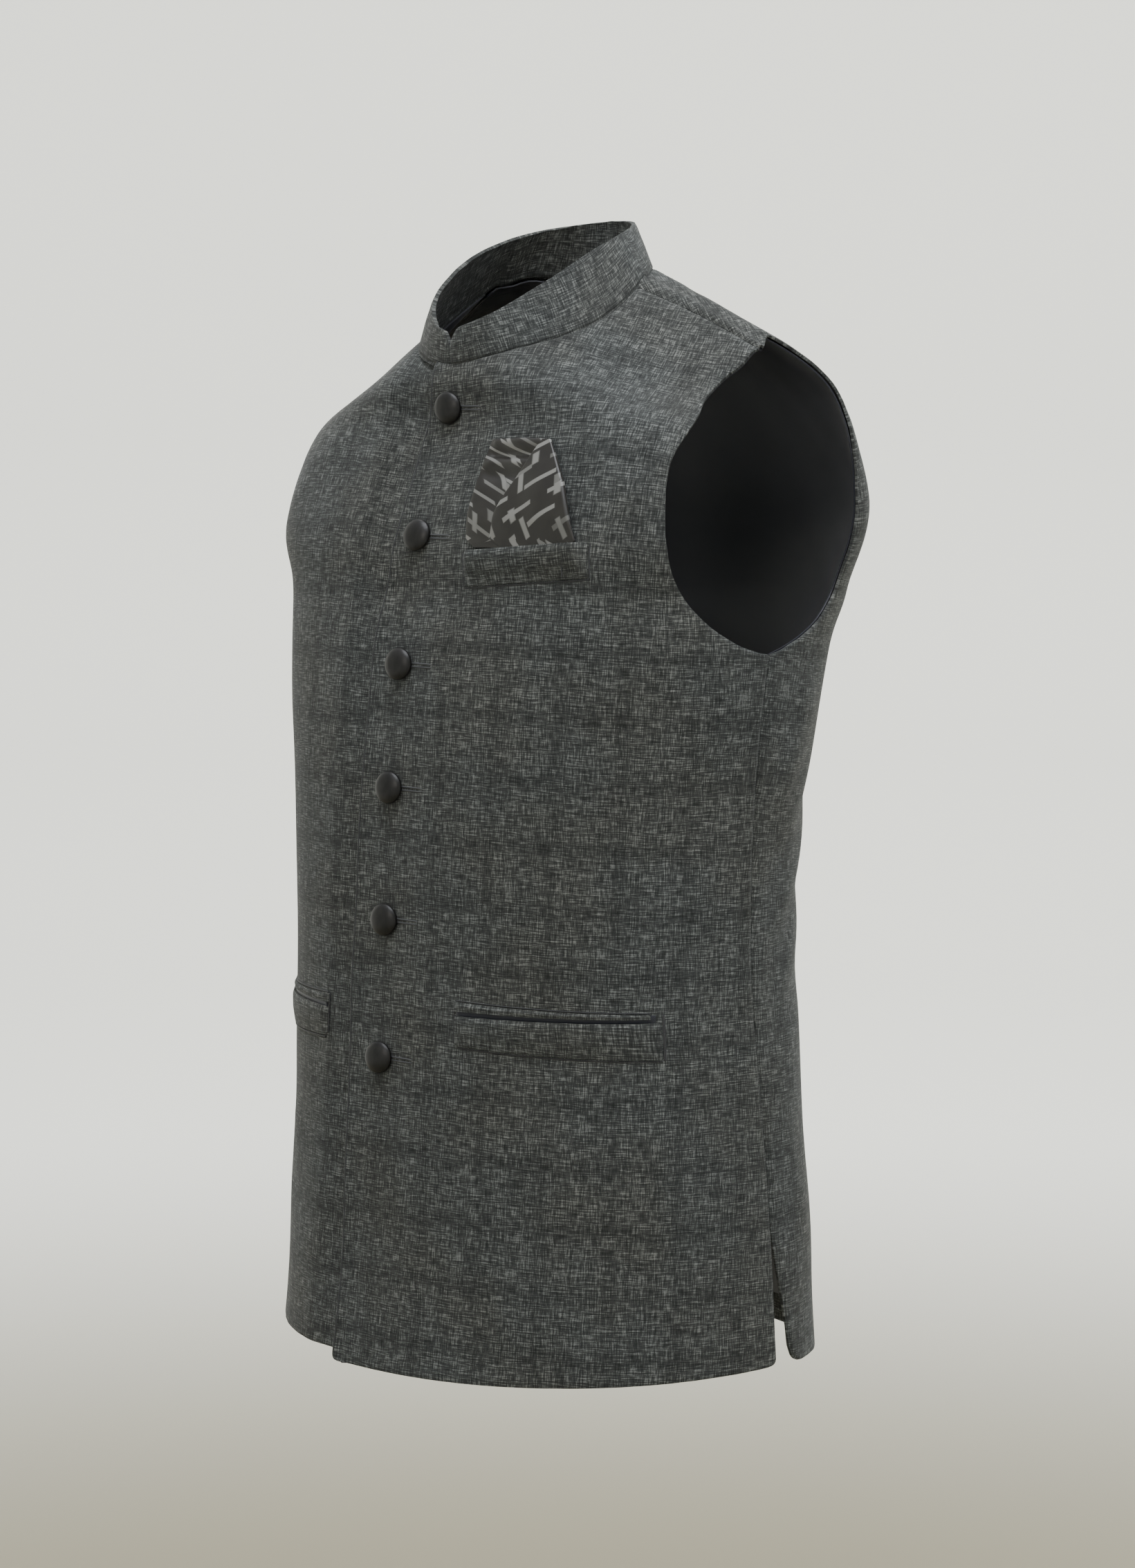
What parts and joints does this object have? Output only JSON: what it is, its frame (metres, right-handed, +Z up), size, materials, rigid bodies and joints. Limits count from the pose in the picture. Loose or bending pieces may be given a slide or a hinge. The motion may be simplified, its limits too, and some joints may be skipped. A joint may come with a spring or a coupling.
{
  "type": "waistcoat",
  "caption": "Sleeveless waistcoat with stand collar, buttoned lap front, welt breast pocket with folded square, two welt hip pockets, lined body and side vents",
  "frame": {"origin": "The middle of the line between the two points where the shoulder seams meet the collar, where the garment hangs on its wearer", "axes": "+Z up, -Y out of the front, +X toward the wearer's left"},
  "size_m": [0.418, 0.3082, 0.7417],
  "materials": {
    "front_left": "matte melange cloth",
    "front_right": "matte melange cloth",
    "back": "matte melange cloth",
    "collar": "matte melange cloth",
    "breast_welt": "matte melange cloth",
    "hip_welt_left": "matte melange cloth",
    "hip_welt_right": "matte melange cloth",
    "hip_lip_left": "matte melange cloth",
    "hip_lip_right": "matte melange cloth",
    "lining_front_left": "smooth lining, slight sheen",
    "lining_front_right": "smooth lining, slight sheen",
    "lining_back": "smooth lining, slight sheen",
    "pocket_square": "soft satin, printed",
    "button_1": "satin, domed",
    "button_2": "satin, domed",
    "button_3": "satin, domed",
    "button_4": "satin, domed",
    "button_5": "satin, domed",
    "button_6": "satin, domed"
  },
  "bodies": {
    "root": {"front_left": "front_left", "front_right": "front_right", "back": "back", "collar": "collar", "breast_welt": "breast_welt", "hip_welt_left": "hip_welt_left", "hip_welt_right": "hip_welt_right", "hip_lip_left": "hip_lip_left", "hip_lip_right": "hip_lip_right", "lining_front_left": "lining_front_left", "lining_front_right": "lining_front_right", "lining_back": "lining_back", "pocket_square": "pocket_square", "button_1": "button_1", "button_2": "button_2", "button_3": "button_3", "button_4": "button_4", "button_5": "button_5", "button_6": "button_6"}
  },
  "joints": []
}
